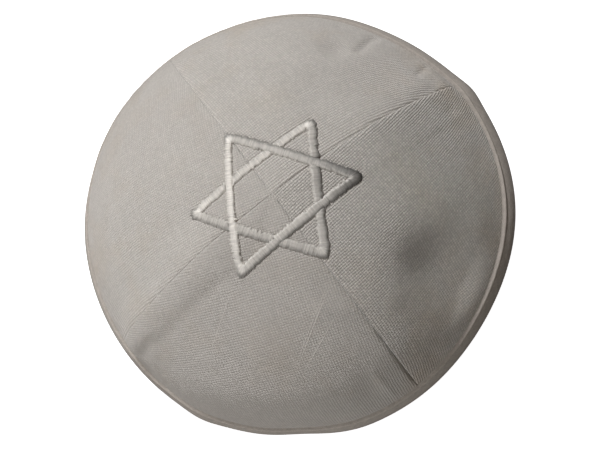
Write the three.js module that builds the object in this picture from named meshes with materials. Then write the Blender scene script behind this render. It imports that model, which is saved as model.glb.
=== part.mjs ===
// Kippah skullcap, lying on its rim.
// Four linen panels meet in seams at the crown, a folded tape binds the rim, and a six-pointed star in
// raised satin stitch lies over the crown. Millimetres, +Z up, the rim's underside at z = 0.

import * as THREE from 'three';
import { mergeVertices } from 'three/addons/utils/BufferGeometryUtils.js';

const FULL_TURN = 2 * Math.PI;
const rad = THREE.MathUtils.degToRad;

// Driving dimensions
const RIM_RADIUS = 85;
const CROWN_HEIGHT = 46;
const SHOULDER_LEAN = rad(35);
const CLOTH = 1.2;
const CLOTH_FACE = -0.5;
const SEAM_GAP = 0.3;
const CLEARANCE = 0.3;

// The rim strays a little from a circle: waves round it, in millimetres
const RIM_WAVES = [
  { perTurn: 2, cosine: -0.31, sine: -0.22 },
  { perTurn: 3, cosine: 0.49, sine: -0.45 },
  { perTurn: 4, cosine: -0.43, sine: -0.39 },
  { perTurn: 5, cosine: -0.17, sine: -0.22 },
];

// Where the rim bulges at a seam or lies flatter than its waves say
const RIM_BUMPS = [
  { azimuth: 2, spread: 13, rise: 1.6 },
  { azimuth: 236, spread: 16, rise: -1.8 },
];

// Where the rim alone strays in or out, and how far up the wall that reaches
const RIM_KINKS = [
  { azimuth: -3, spread: 4, rise: 0.8, reach: 12 },
  { azimuth: 7, spread: 7, rise: -0.5, reach: 14 },
  { azimuth: 40, spread: 8, rise: 0.3, reach: 20 },
  { azimuth: 70, spread: 7, rise: -0.4, reach: 30 },
  { azimuth: 105, spread: 30, rise: -0.3, reach: 30 },
  { azimuth: 130, spread: 8, rise: -0.4, reach: 30 },
  { azimuth: 208, spread: 5, rise: 0.7, reach: 14 },
  { azimuth: 235, spread: 5, rise: -0.8, reach: 16 },
  { azimuth: 250, spread: 5, rise: 0.4, reach: 14 },
  { azimuth: 272, spread: 22, rise: 0.3, reach: 20 },
  { azimuth: 316, spread: 16, rise: 0.6, reach: 14 },
];

// How steeply the wall stands at the rim, in degrees: the left side is upright, the right side flares,
// and the back stands steeper still
const STEEP_BACK = { azimuth: 100, spread: 36, lean: 12 };
const MEAN_LEAN = 62.6;
const LEAN_WAVES = [
  { perTurn: 1, cosine: -8.3, sine: -3.9 },
  { perTurn: 2, cosine: -2.9, sine: 6.4 },
];

// The seams from the crown to the rim, anticlockwise from +X, and the panel that follows each
const SEAMS = [
  { azimuth: 0, panel: 'back_right' },
  { azimuth: 89.2, panel: 'back_left' },
  { azimuth: 179.6, panel: 'front_left' },
  { azimuth: 268.7, panel: 'front_right' },
];
const SEAM_DIP = { depth: 0.45, spread: 1.6 };
const CROWN_FADE = { from: 2, to: 8 };

// Folds and creases in one panel or in every panel, each from one place on the cap to another. A place
// is an azimuth in degrees and an arc from the crown.
const FOLDS = [
  { panel: 'every', from: [181, 34], to: [183, 85], spread: 10, rise: 1.4 },
  { panel: 'every', from: [3, 46], to: [2, 90], spread: 9, rise: 0.9 },
  { panel: 'front_left', from: [-162, 38], to: [-172.5, 84], spread: 3, rise: -0.5 },
  { panel: 'front_left', from: [-106, 45], to: [-86, 56], spread: 3.5, rise: 0.4 },
  { panel: 'front_left', from: [-92.5, 62], to: [-92.5, 92], spread: 3, rise: -0.5 },
  { panel: 'front_right', from: [-85, 45], to: [-80, 58], spread: 3.5, rise: 0.3 },
  { panel: 'front_right', from: [-89.5, 62], to: [-89.5, 92], spread: 3, rise: 0.4 },
  { panel: 'back_right', from: [26.1, 88.6], to: [27, 74], spread: 3, rise: -1.1 },
  { panel: 'back_right', from: [7.8, 81], to: [8.8, 91], spread: 2.5, rise: -0.5 },
  { panel: 'back_right', from: [62, 36], to: [77.9, 80], spread: 5, rise: -0.5 },
];

// Wide soft hollows and swellings
const SWELLS = [
  { azimuth: -62, arc: 66.5, spread: 17, rise: -5.8 },
  { azimuth: -50, arc: 80, spread: 12, rise: -1 },
  { azimuth: -76, arc: 82, spread: 10, rise: -0.8 },
  { azimuth: -83, arc: 87, spread: 3, rise: -0.6 },
  { azimuth: -103, arc: 82, spread: 4.5, rise: -0.5 },
  { azimuth: -23, arc: 88, spread: 6, rise: -0.6 },
  { azimuth: 34, arc: 68.8, spread: 5.5, rise: -1.3 },
  { azimuth: -7.4, arc: 81.7, spread: 3, rise: -0.5 },
];

// The binding tape: how far it reaches up the wall, how thick it is, and where the cloth ends in its fold
const TAPE = 0.8;
const TAPE_OUTER_LEG = 7.7;
const TAPE_INNER_LEG = 6.8;
const CLOTH_END = 3;
const CLOTH_ROOM = 0.4;
const TAPE_FOOT = 2.4;
const TAPE_EDGE_ROUND = 1.2;
const TAPE_EDGE_INSET = 0.5;
const TAPE_BACK_ROUND = 0.8;

// The raised edge along the top of the tape: how far below the tape's end its crest and its foot lie,
// how high the crest stands and how deep the foot dips
const BEAD_END = 0.1;
const BEAD_CREST = { below: 1.1, rise: 0.25 };
const BEAD_FOOT = { below: 2, dip: 0.05 };

// How far above the tape the cloth is free to lift or sink
const HOLD_FADE = { from: 1, to: 8 };

// The star: the width and height of its satin columns, and its tips
const COLUMN_WIDTH = 3.1;
const COLUMN_HEIGHT = 0.9;
const HALF_TIP_ANGLE = rad(30);
const OVER_TIPS = [
  { azimuth: 89.7, arc: 28.1 },
  { azimuth: -26.1, arc: 31.4 },
  { azimuth: -150.4, arc: 30.4 },
];
const UNDER_TIPS = [
  { azimuth: 25.7, arc: 30.5, name: 'right' },
  { azimuth: 154.2, arc: 30, name: 'left' },
  { azimuth: -87.1, arc: 28.7, name: 'front' },
];

// A satin column's section, from its left edge to its right one, as shares of its width and height
const COLUMN_SECTION = [
  { across: 0, height: 0 },
  { across: 0.08, height: 0.6 },
  { across: 0.33, height: 1 },
  { across: 0.67, height: 1 },
  { across: 0.92, height: 0.6 },
  { across: 1, height: 0 },
];

// How finely the curved pieces are divided
const PANEL_ROWS = 22;
const PANEL_COLUMNS = 20;
const SEAM_CROWDING = 0.55;
const TIP_ARC = 0.35;
const RIM_STEPS = 120;
const COLUMN_STEP = 4;

const linen = () => new THREE.MeshStandardMaterial({ color: 0xbdb6ac, roughness: 0.9, metalness: 0 });
const tape = () => new THREE.MeshStandardMaterial({ color: 0xc2b9b0, roughness: 0.85, metalness: 0 });
const satin = () => new THREE.MeshStandardMaterial({ color: 0xd8d3cc, roughness: 0.45, metalness: 0 });

const smooth = (low, high, x) => THREE.MathUtils.smoothstep(x, low, high);

function sumOfWaves(waves, azimuth) {
  return waves.reduce((sum, wave) => {
    const angle = wave.perTurn * azimuth;
    return sum + wave.cosine * Math.cos(angle) + wave.sine * Math.sin(angle);
  }, 0);
}

// The smaller angle between two azimuths, in degrees
function azimuthGap(azimuth, degrees) {
  const gap = THREE.MathUtils.radToDeg(azimuth) - degrees;
  return THREE.MathUtils.euclideanModulo(gap + 180, 360) - 180;
}

// 1 at an azimuth given in degrees, and less the further away from it
const nearAzimuth = (azimuth, degrees, spread) => (
  Math.exp(-0.5 * (azimuthGap(azimuth, degrees) / spread) ** 2)
);

function rimRadius(azimuth) {
  const bumps = RIM_BUMPS.reduce((sum, bump) => (
    sum + bump.rise * nearAzimuth(azimuth, bump.azimuth, bump.spread)
  ), 0);
  return RIM_RADIUS + sumOfWaves(RIM_WAVES, azimuth) + bumps;
}

// How far the kinks in the rim push the wall outwards
function rimKink(azimuth, fromRim) {
  return RIM_KINKS.reduce((sum, kink) => {
    const fade = 1 - smooth(0, kink.reach, fromRim);
    return sum + kink.rise * nearAzimuth(azimuth, kink.azimuth, kink.spread) * fade;
  }, 0);
}

// The cap's profile at an azimuth: a wide crown arc that runs into a tighter shoulder arc. Their two
// radii follow from the rim's radius, the cap's height and the wall's lean at the rim.
function profile(azimuth) {
  const steep = STEEP_BACK.lean * nearAzimuth(azimuth, STEEP_BACK.azimuth, STEEP_BACK.spread);
  const lean = rad(MEAN_LEAN + sumOfWaves(LEAN_WAVES, azimuth) + steep);
  const radius = rimRadius(azimuth);
  const crownReach = Math.sin(SHOULDER_LEAN);
  const crownDrop = 1 - Math.cos(SHOULDER_LEAN);
  const shoulderReach = Math.sin(lean) - crownReach;
  const shoulderDrop = Math.cos(SHOULDER_LEAN) - Math.cos(lean);
  const determinant = crownReach * shoulderDrop - shoulderReach * crownDrop;
  const crownRadius = (radius * shoulderDrop - shoulderReach * CROWN_HEIGHT) / determinant;
  const shoulderRadius = (crownReach * CROWN_HEIGHT - crownDrop * radius) / determinant;
  const crownArc = crownRadius * SHOULDER_LEAN;
  const length = crownArc + shoulderRadius * (lean - SHOULDER_LEAN);
  return { lean, crownRadius, shoulderRadius, crownArc, length };
}

// A place on the cap: arc is measured from the crown down the wall, offset outwards from the wall's
// middle surface
function capPoint(azimuth, arc, offset) {
  const { crownRadius, shoulderRadius, crownArc, length } = profile(azimuth);
  let lean;
  let reach;
  let drop;
  if (arc < crownArc) {
    lean = arc / crownRadius;
    reach = crownRadius * Math.sin(lean);
    drop = crownRadius * (1 - Math.cos(lean));
  } else {
    lean = SHOULDER_LEAN + (arc - crownArc) / shoulderRadius;
    reach = crownRadius * Math.sin(SHOULDER_LEAN)
      + shoulderRadius * (Math.sin(lean) - Math.sin(SHOULDER_LEAN));
    drop = crownRadius * (1 - Math.cos(SHOULDER_LEAN))
      + shoulderRadius * (Math.cos(SHOULDER_LEAN) - Math.cos(lean));
  }
  const distance = reach + offset * Math.sin(lean) + rimKink(azimuth, length - arc);
  const height = CROWN_HEIGHT - drop + offset * Math.cos(lean);
  return new THREE.Vector3(distance * Math.cos(azimuth), distance * Math.sin(azimuth), height);
}

// The cap's surface rolled out flat round the crown
const flat = (azimuth, arc) => new THREE.Vector2(arc * Math.cos(azimuth), arc * Math.sin(azimuth));
const flatPlace = (degrees, arc) => flat(rad(degrees), arc);
const tipPlace = ({ azimuth, arc }) => flatPlace(azimuth, arc);

function distanceToSegment(place, from, to) {
  const along = to.clone().sub(from);
  const share = THREE.MathUtils.clamp(place.clone().sub(from).dot(along) / along.lengthSq(), 0, 1);
  return from.clone().addScaledVector(along, share).distanceTo(place);
}

const hump = (distance, spread) => Math.exp(-((distance / spread) ** 2));

// The binding holds the cloth flat, so what lifts or lowers it dies out there
function fadeAtBinding(azimuth, arc) {
  const aboveBinding = profile(azimuth).length - TAPE_OUTER_LEG - arc;
  return smooth(HOLD_FADE.from, HOLD_FADE.to, aboveBinding);
}

// How far folds and swellings lift the cloth at a place
function foldRise(azimuth, arc, panel) {
  const place = flat(azimuth, arc);
  const ownFolds = FOLDS.filter((fold) => fold.panel === panel || fold.panel === 'every');
  const folds = ownFolds.reduce((sum, fold) => {
    const distance = distanceToSegment(place, flatPlace(...fold.from), flatPlace(...fold.to));
    return sum + fold.rise * hump(distance, fold.spread);
  }, 0);
  const swells = SWELLS.reduce((sum, swell) => (
    sum + swell.rise * hump(flatPlace(swell.azimuth, swell.arc).distanceTo(place), swell.spread)
  ), 0);
  return (folds + swells) * fadeAtBinding(azimuth, arc);
}

// The dip where two panels are sewn together, which fades out towards the crown and the binding
function seamRise(azimuth, arc) {
  const nearest = Math.min(...SEAMS.map((seam) => Math.abs(azimuthGap(azimuth, seam.azimuth))));
  const distance = arc * Math.sin(rad(nearest));
  const fade = smooth(CROWN_FADE.from, CROWN_FADE.to, arc) * fadeAtBinding(azimuth, arc);
  return -SEAM_DIP.depth * hump(distance, SEAM_DIP.spread) * fade;
}

// A closed body from a list of equal rings of points. Rings follow each other along the body, and
// `endless` joins the last ring to the first. A ring's second half runs back beside its first, so
// that an open end is closed by a strip between the two halves.
function bodyFromRings(rings, endless = false) {
  const size = rings[0].length;
  const positions = rings.flatMap((ring) => ring.flatMap((point) => point.toArray()));
  const faces = [];
  const steps = endless ? rings.length : rings.length - 1;
  for (let step = 0; step < steps; step += 1) {
    const near = step * size;
    const far = ((step + 1) % rings.length) * size;
    for (let i = 0; i < size; i += 1) {
      const j = (i + 1) % size;
      faces.push(near + i, far + i, far + j, near + i, far + j, near + j);
    }
  }
  if (!endless) {
    const last = (rings.length - 1) * size;
    for (let i = 0; i < size / 2 - 1; i += 1) {
      const [a, b, c, d] = [i, i + 1, size - 2 - i, size - 1 - i];
      faces.push(a, b, c, a, c, d);
      faces.push(last + a, last + c, last + b, last + a, last + d, last + c);
    }
  }
  return bodyFromFaces(positions, faces);
}

// Merges shared corners, drops faces that have shrunk to a line and turns the rest outwards
function bodyFromFaces(positions, faces) {
  const loose = new THREE.BufferGeometry();
  loose.setAttribute('position', new THREE.Float32BufferAttribute(positions, 3));
  loose.setIndex(faces);
  const merged = mergeVertices(loose, 1e-3);
  const corner = merged.getAttribute('position');
  const point = (index) => new THREE.Vector3().fromBufferAttribute(corner, index);
  const kept = [];
  let volume = 0;
  const index = merged.getIndex().array;
  for (let i = 0; i < index.length; i += 3) {
    const [a, b, c] = index.slice(i, i + 3);
    if (a !== b && b !== c && c !== a) {
      kept.push([a, b, c]);
      volume += point(a).dot(point(b).cross(point(c)));
    }
  }
  merged.setIndex(kept.flatMap(([a, b, c]) => (volume > 0 ? [a, b, c] : [a, c, b])));
  merged.computeVertexNormals();
  return merged;
}

// One panel of the crown: a shell between two seams, from its tip at the crown to its edge in the fold
// of the binding. Each row across it is one ring: along the outer face and back along the inner one.
function panelGeometry(panel, startDegrees, endDegrees) {
  const start = rad(startDegrees);
  const end = rad(endDegrees);
  const middle = (start + end) / 2;
  const rings = [];
  for (let row = 0; row <= PANEL_ROWS; row += 1) {
    const share = row / PANEL_ROWS;
    const outer = [];
    const inner = [];
    for (let column = 0; column <= PANEL_COLUMNS; column += 1) {
      const even = column / PANEL_COLUMNS;
      const across = even - SEAM_CROWDING * Math.sin(FULL_TURN * even) / FULL_TURN;
      const straightAzimuth = start + (end - start) * across;
      const length = profile(straightAzimuth).length - CLOTH_END;
      const arc = TIP_ARC + (length - TIP_ARC) * share;
      const trim = Math.asin(SEAM_GAP / 2 / Math.max(arc, SEAM_GAP));
      const azimuth = row === 0 ? middle : start + trim + (end - start - 2 * trim) * across;
      const rise = row === 0 ? 0 : foldRise(azimuth, arc, panel) + seamRise(azimuth, arc);
      outer.push(capPoint(azimuth, arc, CLOTH_FACE + rise));
      inner.push(capPoint(azimuth, arc, CLOTH_FACE + rise - CLOTH));
    }
    rings.push([...outer, ...inner.reverse()]);
  }
  return bodyFromRings(rings);
}

// The binding: a tape folded round the rim, with a bead along its upper edge and a flat foot at z = 0
function bindingGeometry() {
  const outerFace = CLOTH_FACE + CLEARANCE + TAPE;
  const outerBack = CLOTH_FACE + CLEARANCE;
  const innerBack = CLOTH_FACE - CLOTH - CLEARANCE;
  const innerFace = innerBack - TAPE;
  const rings = [];
  for (let step = 0; step < RIM_STEPS; step += 1) {
    const azimuth = FULL_TURN * step / RIM_STEPS;
    const { lean, length } = profile(azimuth);
    const on = (fromRim, offset) => capPoint(azimuth, length - fromRim, offset);
    const foot = (offset) => {
      const corner = capPoint(azimuth, length + offset / Math.tan(lean), offset);
      return corner.setZ(0);
    };
    const footFace = outerFace - TAPE_EDGE_INSET;
    const innerStart = TAPE_BACK_ROUND - innerFace / Math.tan(lean);
    rings.push([
      on(TAPE_OUTER_LEG - BEAD_END, outerBack),
      on(TAPE_OUTER_LEG + BEAD_END, (outerBack + outerFace) / 2),
      on(TAPE_OUTER_LEG - BEAD_CREST.below, outerFace + BEAD_CREST.rise),
      on(TAPE_OUTER_LEG - BEAD_FOOT.below, outerFace - BEAD_FOOT.dip),
      on(TAPE_EDGE_ROUND, outerFace),
      foot(footFace),
      foot(footFace - TAPE_FOOT),
      on(innerStart, innerFace),
      on(TAPE_INNER_LEG, innerFace),
      on(TAPE_INNER_LEG, innerBack),
      on(CLOTH_END - CLOTH_ROOM, innerBack),
      on(CLOTH_END - CLOTH_ROOM, outerBack),
    ]);
  }
  return bodyFromRings(rings, true);
}

// Flat lines for the star: a straight side moved sideways, and where two of them meet
function flatLine(from, to, shift) {
  const along = to.clone().sub(from).normalize();
  const sideways = new THREE.Vector2(-along.y, along.x);
  return { point: from.clone().addScaledVector(sideways, shift), along };
}

function meet(first, second) {
  const between = second.point.clone().sub(first.point);
  const share = between.cross(second.along) / first.along.cross(second.along);
  return first.point.clone().addScaledVector(first.along, share);
}

// A satin column over the cap, from flat stations that each hold its left and right edge: flat
// underneath and rounded on top
function columnGeometry(stations, endless = false) {
  const rings = stations.map(({ left, right }) => COLUMN_SECTION.map(({ across, height }) => {
    const place = left.clone().lerp(right, across);
    const azimuth = place.angle();
    const arc = place.length();
    const panel = [...SEAMS].reverse().find((seam) => azimuth >= rad(seam.azimuth)).panel;
    const offset = CLOTH_FACE + foldRise(azimuth, arc, panel) + CLEARANCE + height * COLUMN_HEIGHT;
    return capPoint(azimuth, arc, offset);
  }));
  return bodyFromRings(rings, endless);
}

// Stations between two stations, evenly spaced
function fillStations(first, last) {
  const length = first.left.distanceTo(last.left);
  const steps = Math.max(1, Math.round(length / COLUMN_STEP));
  return Array.from({ length: steps + 1 }, (_, step) => ({
    left: first.left.clone().lerp(last.left, step / steps),
    right: first.right.clone().lerp(last.right, step / steps),
  }));
}

// The stations round a tip of the star: its outside is rounded, and its inside is one sharp corner
function tipStations(before, tip, after) {
  const half = COLUMN_WIDTH / 2;
  const arriving = flatLine(before, tip, 0).along;
  const leaving = flatLine(tip, after, 0).along;
  const inside = meet(flatLine(before, tip, -half), flatLine(tip, after, -half));
  const arrivingSide = new THREE.Vector2(-arriving.y, arriving.x);
  const leavingSide = new THREE.Vector2(-leaving.y, leaving.x);
  const outwards = arriving.clone().sub(leaving).normalize();
  const inset = arriving.clone().multiplyScalar(-half / Math.tan(HALF_TIP_ANGLE));
  const outset = leaving.clone().multiplyScalar(half / Math.tan(HALF_TIP_ANGLE));
  return [
    { left: tip.clone().add(inset).addScaledVector(arrivingSide, half), right: inside },
    { left: tip.clone().addScaledVector(arrivingSide, half), right: inside },
    { left: tip.clone().addScaledVector(outwards, half), right: inside },
    { left: tip.clone().addScaledVector(leavingSide, half), right: inside },
    { left: tip.clone().add(outset).addScaledVector(leavingSide, half), right: inside },
  ];
}

function overTriangleGeometry() {
  const tips = OVER_TIPS.map(tipPlace);
  const corners = tips.map((tip, i) => tipStations(tips[(i + 2) % 3], tip, tips[(i + 1) % 3]));
  const stations = corners.flatMap((corner, i) => {
    const side = fillStations(corner.at(-1), corners[(i + 1) % 3][0]);
    return [...corner, ...side.slice(1, -1)];
  });
  return columnGeometry(stations, true);
}

// Where a side of the lower triangle ends against a side of the upper one
function endStation(from, to, cut) {
  const half = COLUMN_WIDTH / 2;
  return {
    left: meet(flatLine(from, to, half), cut),
    right: meet(flatLine(from, to, -half), cut),
  };
}

// Both triangles run clockwise, so that a column's left side is the outside of the star
function underPieces() {
  const over = OVER_TIPS.map(tipPlace);
  const order = [UNDER_TIPS[0], UNDER_TIPS[2], UNDER_TIPS[1]];
  const under = order.map(tipPlace);
  const away = COLUMN_WIDTH / 2 + CLEARANCE;
  const pieces = [];
  under.forEach((tip, i) => {
    const before = under[(i + 2) % 3];
    const after = under[(i + 1) % 3];
    const outside = flatLine(over[i], over[(i + 1) % 3], away);
    const corner = tipStations(before, tip, after);
    pieces.push({
      name: `star_under_tip_${order[i].name}`,
      stations: [
        ...fillStations(endStation(before, tip, outside), corner[0]),
        ...corner.slice(1, -1),
        ...fillStations(corner.at(-1), endStation(tip, after, outside)),
      ],
    });
    const inside = flatLine(over[i], over[(i + 1) % 3], -away);
    const nextInside = flatLine(over[(i + 1) % 3], over[(i + 2) % 3], -away);
    pieces.push({
      name: `star_under_bar_${order[i].name}`,
      stations: fillStations(endStation(tip, after, inside), endStation(tip, after, nextInside)),
    });
  });
  return pieces;
}

function addPiece(group, name, geometry, material) {
  const mesh = new THREE.Mesh(geometry, material);
  mesh.name = name;
  group.add(mesh);
}

const cap = new THREE.Group();

SEAMS.forEach((seam, i) => {
  const next = SEAMS[(i + 1) % SEAMS.length];
  const end = next.azimuth > seam.azimuth ? next.azimuth : next.azimuth + 360;
  addPiece(cap, `panel_${seam.panel}`, panelGeometry(seam.panel, seam.azimuth, end), linen());
});

addPiece(cap, 'rim_binding', bindingGeometry(), tape());
addPiece(cap, 'star_over_triangle', overTriangleGeometry(), satin());
underPieces().forEach(({ name, stations }) => {
  addPiece(cap, name, columnGeometry(stations), satin());
});

// The cap stands centred on its own outline
const outline = new THREE.Box3().setFromObject(cap);
const centre = outline.getCenter(new THREE.Vector3());
cap.position.set(-centre.x, -centre.y, -outline.min.z);

const kippah = new THREE.Group();
kippah.add(cap);

export default kippah;
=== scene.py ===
"""Kippah skullcap in undyed linen: four panels, a folded tape round the rim and a satin-stitched star."""

import math
from collections import namedtuple

import bpy
import numpy as np
from mathutils import Matrix, Vector, noise


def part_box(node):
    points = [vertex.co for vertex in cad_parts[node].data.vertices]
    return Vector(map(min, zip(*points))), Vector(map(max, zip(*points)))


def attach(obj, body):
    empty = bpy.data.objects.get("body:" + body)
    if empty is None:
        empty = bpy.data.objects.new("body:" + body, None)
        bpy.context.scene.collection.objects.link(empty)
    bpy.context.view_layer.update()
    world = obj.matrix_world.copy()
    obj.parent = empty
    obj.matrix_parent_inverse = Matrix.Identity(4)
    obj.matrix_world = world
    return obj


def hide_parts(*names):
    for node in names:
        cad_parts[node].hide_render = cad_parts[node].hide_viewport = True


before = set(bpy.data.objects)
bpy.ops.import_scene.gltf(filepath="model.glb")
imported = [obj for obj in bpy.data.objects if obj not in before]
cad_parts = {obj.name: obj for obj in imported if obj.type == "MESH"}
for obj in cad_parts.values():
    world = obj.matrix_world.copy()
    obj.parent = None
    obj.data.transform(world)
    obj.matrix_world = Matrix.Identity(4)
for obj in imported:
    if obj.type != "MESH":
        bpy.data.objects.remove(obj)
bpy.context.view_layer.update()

bl_info = {
    "name": "Kippah skullcap",
    "version": (1, 0, 0),
    "blender": (4, 5, 0),
    "location": "3D View > Sidebar > Kippah",
    "description": "Builds a linen skullcap with a bound rim and a satin-stitched star",
    "category": "Add Mesh",
}


def table(fields, *rows):
    """Rows of values whose fields have names."""
    row_type = namedtuple("Row", fields)
    return [row_type(*row) for row in rows]


CAP_HEIGHT = 0.046
RIM_RADIUS = 0.085
FULL_TURN = 2 * math.pi

# The rim strays a little from a circle: waves round it, in metres
RIM_WAVES = table(
    "per_turn cosine sine",
    (2, -0.00031, -0.00022),
    (3, 0.00049, -0.00045),
    (4, -0.00043, -0.00039),
    (5, -0.00017, -0.00022),
)

# Where the rim bulges at a seam or lies flatter than its waves say: degrees, degrees, metres
RIM_BUMPS = table(
    "azimuth spread rise",
    (2, 13, 0.0016),
    (236, 16, -0.0018),
)

# Where the rim alone strays in or out, and how far up the wall that reaches
RIM_KINKS = table(
    "azimuth spread rise reach",
    (-3, 3.2, 0.0009, 0.012),
    (7, 7, -0.0005, 0.014),
    (40, 8, 0.0003, 0.020),
    (70, 7, -0.0004, 0.030),
    (105, 30, -0.0003, 0.030),
    (130, 8, -0.0004, 0.030),
    (208, 4, 0.0008, 0.014),
    (235, 5, -0.0008, 0.016),
    (250, 5, 0.0004, 0.014),
    (272, 22, 0.0003, 0.020),
    (316, 16, 0.0006, 0.014),
)

# How steeply the wall stands where the crown's arc ends, and how steeply at the rim, in degrees: the left
# side is upright, the right side flares, and the back is steeper still
SHOULDER_LEAN = math.radians(35)
MEAN_LEAN = 62.6
LEAN_WAVES = table(
    "per_turn cosine sine",
    (1, -8.3, -3.9),
    (2, -2.9, 6.4),
)
STEEP_AZIMUTH = 100
STEEP_SPREAD = 36
STEEP_LEAN = 12

# The seams, anticlockwise from +X, the panel that follows each, and how far a seam opens at the crown, on
# the wall and near the rim, as a share of the turned edge's radius
SEAMS = table(
    "azimuth panel crown_opening wall_opening rim_opening",
    (0.0, "back_right", 0.7, 0.16, 0.3),
    (89.2, "back_left", 0.9, 0.12, 0.12),
    (179.6, "front_left", 0.85, 0.42, 0.3),
    (268.7, "front_right", 0.9, 0.42, 0.9),
)

# How the cloth on either side dips into a seam. Past the outer arc it dips deeper.
GROOVES = table(
    "seam side dip spread outer_dip",
    (0.0, "before", 0.0003, 0.0005, 0.0),
    (0.0, "after", 0.0002, 0.0006, 0.0),
    (89.2, "before", 0.0001, 0.0008, 0.0),
    (89.2, "after", 0.0001, 0.0008, 0.0),
    (179.6, "before", 0.0002, 0.0012, 0.0),
    (179.6, "after", 0.0002, 0.0005, 0.0),
    (268.7, "before", 0.0002, 0.0008, 0.0006),
    (268.7, "after", 0.0001, 0.0005, 0.0),
)

# The arcs where the seams leave the star and come near the rim, and how soft those changes are
STAR_ARC = 0.026
GROOVE_OUTER_ARC = 0.063
CHANGE_REACH = 0.004

# The allowance under the cloth lifts a strip along a seam
STRIPS = table(
    "seam side width edge lift",
    (0.0, "before", 0.0142, 0.0025, 0.0003),
    (179.6, "after", 0.0095, 0.0045, 0.0003),
    (268.7, "before", 0.0115, 0.002, 0.00012),
)

# Folds and creases between two places on the cap. Azimuths are in degrees, and arcs are measured from the
# crown in metres.
FOLDS = table(
    "panel from_azimuth from_arc to_azimuth to_arc spread rise",
    ("every", 181, 0.030, 183, 0.085, 0.011, 0.0021),
    ("every", 3, 0.046, 2, 0.090, 0.009, 0.0009),
    ("front_left", -162, 0.038, -172.5, 0.084, 0.0030, -0.0003),
    ("front_left", -99.4, 0.075, -97.7, 0.094, 0.0012, 0.0003),
    ("front_left", -106, 0.045, -86, 0.056, 0.0035, 0.0004),
    ("front_right", -85, 0.045, -80, 0.058, 0.0035, 0.0003),
    ("front_right", -55, 0.066, -47, 0.074, 0.010, -0.0008),
    ("front_left", -173.7, 0.0865, -172.8, 0.0756, 0.0022, -0.0005),
    ("back_right", 26.1, 0.0886, 27, 0.074, 0.0022, -0.0007),
    ("back_right", 36.5, 0.086, 37.6, 0.091, 0.0015, -0.0003),
    ("back_right", 7.8, 0.081, 8.8, 0.091, 0.0016, -0.0005),
    ("back_right", 0.8, 0.070, 1.4, 0.080, 0.0018, -0.0003),
    ("back_right", 62, 0.036, 77.9, 0.080, 0.005, -0.0005),
)

# Wide soft hollows and swellings
SWELLS = table(
    "azimuth arc spread rise",
    (-62, 0.0615, 0.0115, -0.0025),
    (-63, 0.0765, 0.0150, -0.0029),
    (-78, 0.0700, 0.0100, -0.0005),
    (-44, 0.0800, 0.0080, 0.0005),
    (-83, 0.087, 0.003, -0.0006),
    (-103, 0.082, 0.0045, -0.0005),
    (-23, 0.088, 0.006, -0.0006),
    (34, 0.0688, 0.0055, -0.0013),
    (33, 0.041, 0.0055, -0.0004),
    (3.4, 0.0846, 0.003, -0.0004),
    (-7.4, 0.0817, 0.003, -0.0005),
)

# The star's tips. Each side that leaves a tip bows outwards, has painted shade along the outside of its
# thread, is a share of the full column's width, and has a painted sheen, lighter or darker with the way
# its thread runs.
OVER_TIPS = table(
    "azimuth arc bow dark width shine",
    (89.7, 0.0281, 0.0, 0.4, 1.0, 0.88),
    (-26.1, 0.0314, -0.0003, 0.4, 1.0, 0.92),
    (-150.4, 0.0304, 0.0007, 0.15, 0.85, 1.1),
)
UNDER_TIPS = table(
    "azimuth arc bow dark width shine",
    (25.7, 0.0305, -0.0002, 0.35, 1.0, 0.86),
    (-87.1, 0.0287, 0.0006, 0.3, 0.95, 0.9),
    (154.2, 0.0300, 0.0, 0.2, 0.85, 1.08),
)
# Painted shade at the outer end of the stitches round every tip, and how far from the tip it reaches
TIP_PAINTED_SHADE = 0.6
TIP_PAINTED_SHADE_REACH = 0.0035

# Painted shade on the thread round the right tip
PAINTED_SHADE_TIP = OVER_TIPS[1]
PAINTED_SHADE_REACH = 0.0135
PAINTED_SHADE_DEPTH = 0.62

# How evenly the satin is sewn: how far the stitches' ends stray, how much of that the next stitch follows,
# how much their heights differ, and how light they are
STITCH_STRAY = 0.0002
STITCH_FOLLOWS = 0.3
STITCH_UNEVEN = 0.05
STITCH_TONES = (0.88, 1.1)

# A stitch lies this far into the cloth, and it is pressed flat this near to a column that crosses over it
STITCH_SUNK = 0.0001
PRESSED = (0.0011, 0.0018)

# Along a stitch, from its outer end: where the painted shade of that end dies out, and where and how much
# the inner end is spared from the right tip's painted shade. The two powers make its arch flat on top and
# round at its ends.
STITCH_PAINTED_SHADE_FADE = (0.15, 0.5)
STITCH_SPARED = (0.6, 0.85)
STITCH_SPARING = 0.8
ARCH_FLATNESS = 6
ARCH_ROUNDNESS = 0.75

# The satin pulls the cloth in along its edges
PUCKER_DIP = 0.0002
PUCKER_SPREAD = 0.00045

# The weave of each panel and of the tape: thread spacings in metres, the grain's turn from the panel's
# middle, how high the threads stand, how strongly their tones and their painted shade and sheen differ, and
# a brightness, which on each panel is a painted shade set for that panel, and on the tape its base tone
# under its painted highlight and shade
WEAVES = table(
    "panel across along turn height contrast shade",
    ("back_right", 0.00088, 0.00098, 45, 0.00038, 1.1, 1.03),
    ("back_left", 0.00089, 0.00091, -61, 0.00033, 0.9, 0.96),
    ("front_left", 0.00096, 0.00093, -156, 0.00030, 0.8, 0.87),
    ("front_right", 0.0010, 0.0009, -40, 0.00044, 1.5, 1.0),
    ("binding", 0.0005, 0.0005, 45, 0.00008, 1.0, 0.6),
)
*PANEL_WEAVES, TAPE_WEAVE = WEAVES

# The threads of a weave: how far they wander, in threads, how round they are, how far they rise and dip
# where they cross, how much they differ in thickness, and how long their thick and thin stretches are
THREAD_WANDER = 1.1
THREAD_ROUND = 0.7
THREAD_CROSSING = 0.4
THREAD_LOFT = 0.2
THREAD_STRETCH = 0.018

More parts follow.
